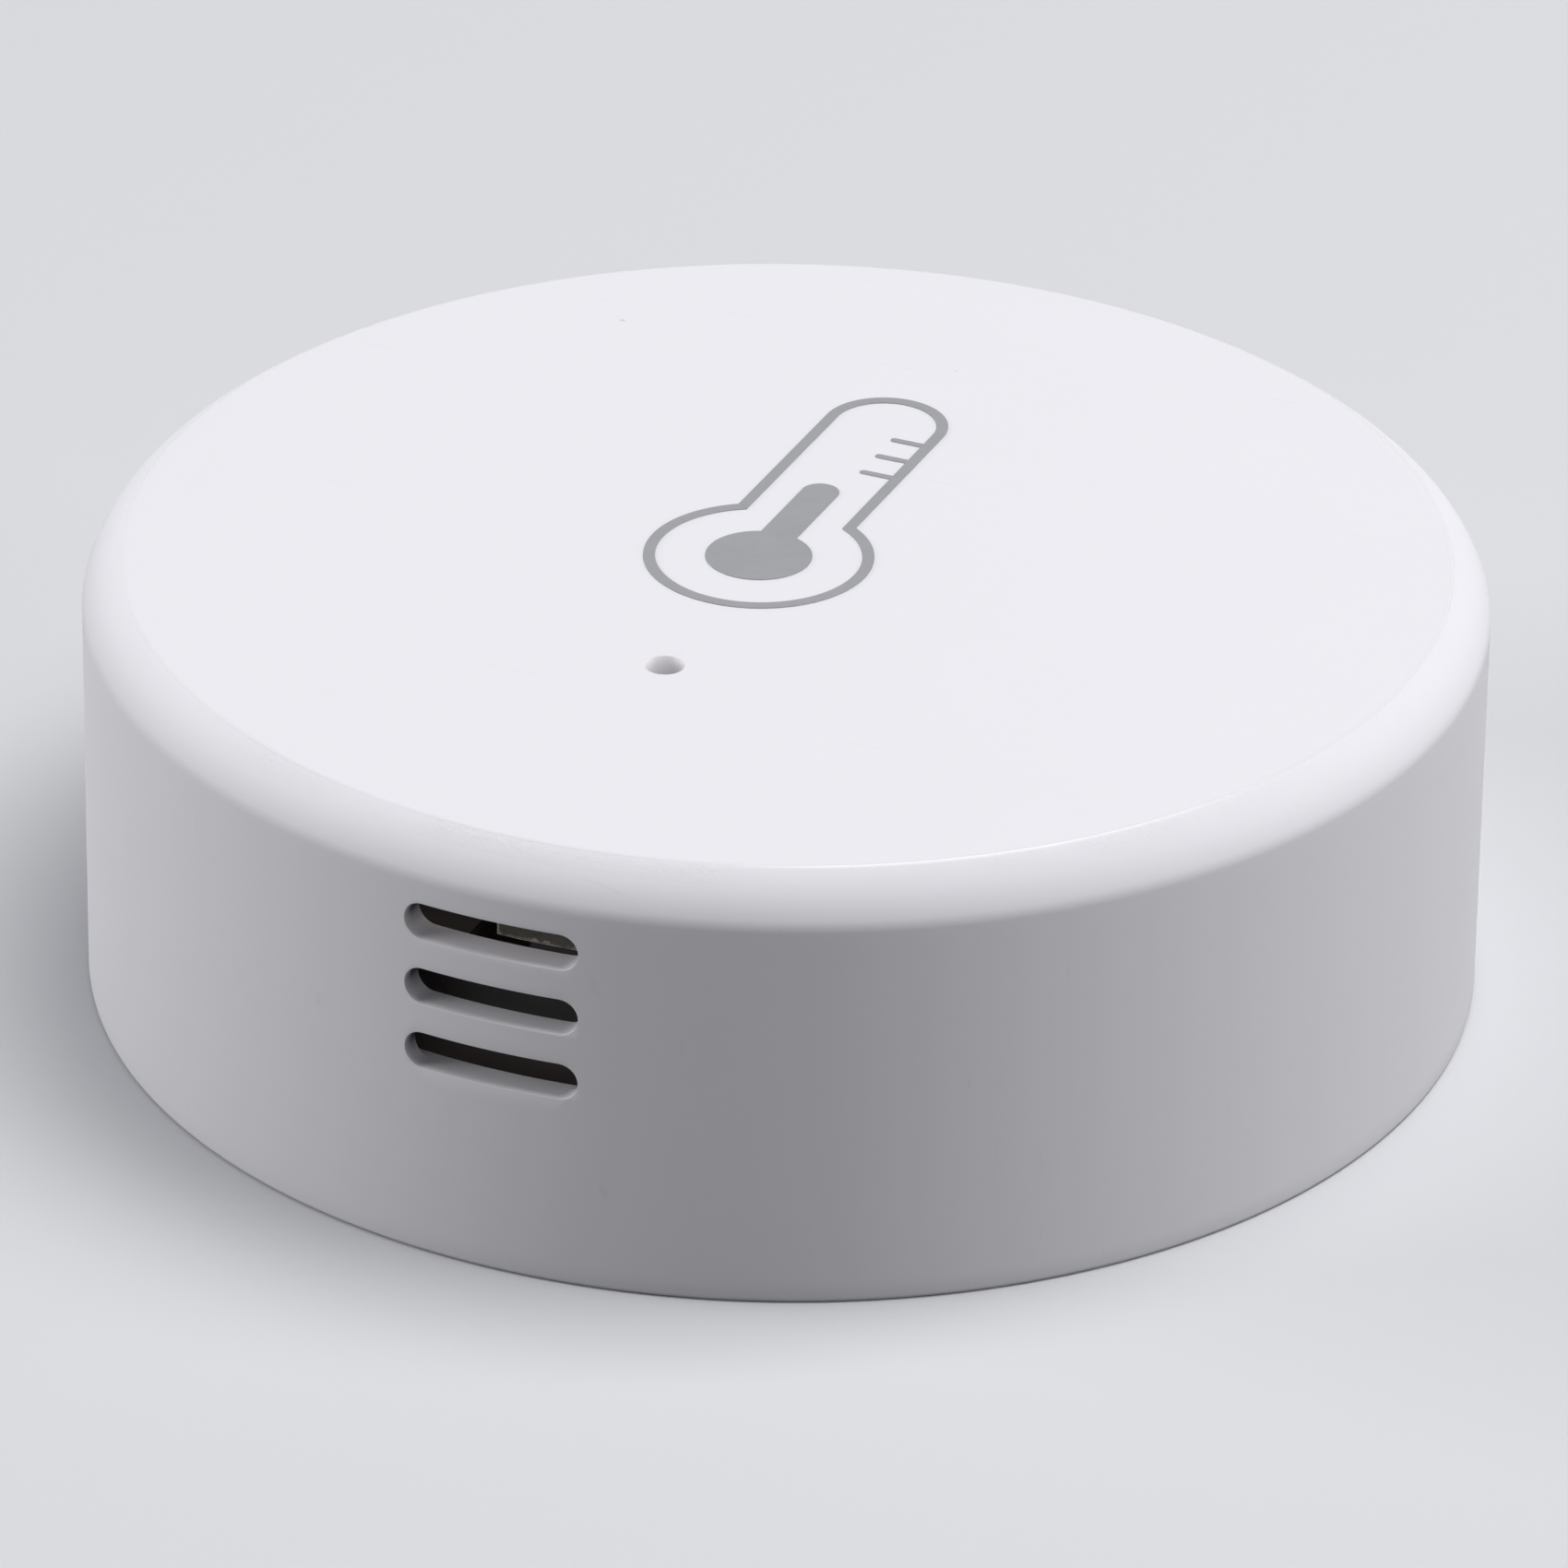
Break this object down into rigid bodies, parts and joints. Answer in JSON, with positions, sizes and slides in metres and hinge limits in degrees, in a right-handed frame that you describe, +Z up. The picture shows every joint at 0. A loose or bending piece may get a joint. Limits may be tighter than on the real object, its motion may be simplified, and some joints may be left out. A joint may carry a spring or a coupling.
{
  "type": "temperature and humidity sensor",
  "caption": "Small round white wireless sensor with a thermometer mark on its flat top, a pin hole, air slots in the side and a turn-off base cover over a coin cell.",
  "frame": {"origin": "centre of the flat base, on the surface that the sensor stands on", "axes": "+Z up through the top, -Y towards the air slots, +X to the right seen from the slots' side"},
  "size_m": [0.04, 0.04, 0.013],
  "materials": {
    "white_abs": "satin moulded ABS",
    "printed_ink": "matt pad-printed ink",
    "cover_abs": "satin moulded ABS",
    "black_abs": "moulded ABS",
    "zinc_steel": "zinc plated",
    "fibreglass_board": "black solder mask over glass epoxy",
    "sensor_epoxy": "moulded epoxy",
    "chip_epoxy": "moulded epoxy",
    "crystal_lid": "plated lid",
    "clock_ceramic": "sintered",
    "antenna_ceramic": "sintered",
    "lamp_epoxy": "clear moulded epoxy",
    "reservoir_ceramic": "sintered",
    "capacitor_ceramic": "sintered",
    "resistor_ceramic": "sintered, black glaze",
    "switch_plastic": "moulded nylon",
    "dome_steel": "rolled sheet",
    "plate_steel": "pressed sheet",
    "plunger_plastic": "moulded nylon",
    "spring_bronze": "gold flashed spring bronze",
    "contact_bronze": "gold flashed spring bronze",
    "can_steel": "nickel plated",
    "cathode_powder": "pressed powder",
    "separator_felt": "nonwoven",
    "anode_metal": "soft lithium foil",
    "gasket_plastic": "moulded polypropylene",
    "cap_steel": "nickel plated"
  },
  "bodies": {
    "housing": {"top_shell": "white_abs", "thermometer_mark": "printed_ink", "battery_tray": "black_abs", "housing_screws": "zinc_steel", "circuit_board": "fibreglass_board", "humidity_sensor": "sensor_epoxy", "radio_chip": "chip_epoxy", "radio_crystal": "crystal_lid", "clock_crystal": "clock_ceramic", "chip_antenna": "antenna_ceramic", "status_lamp": "lamp_epoxy", "reservoir_capacitor": "reservoir_ceramic", "chip_capacitors": "capacitor_ceramic", "chip_resistors": "resistor_ceramic", "switch_base": "switch_plastic", "switch_dome": "dome_steel", "switch_plate": "plate_steel", "negative_spring_contact": "spring_bronze", "positive_side_contact": "contact_bronze", "cell_can": "can_steel", "cell_cathode": "cathode_powder", "cell_separator": "separator_felt", "cell_anode": "anode_metal", "cell_gasket": "gasket_plastic", "cell_cap": "cap_steel"},
    "cover": {"base_cover": "cover_abs"},
    "plunger": {"switch_plunger": "plunger_plastic"}
  },
  "joints": [
    {"name": "cover_twist", "type": "hinge", "parent": "housing", "child": "cover", "pos_m": [0, 0, 0], "axis": [0, 0, -1], "range_deg": [0, 30]},
    {"name": "reset_press", "type": "slide", "parent": "housing", "child": "plunger", "axis": [0, 0, -1], "range_m": [0, 0.00015], "stiffness_N_per_m": 5000, "deforming": ["switch_dome"]}
  ]
}
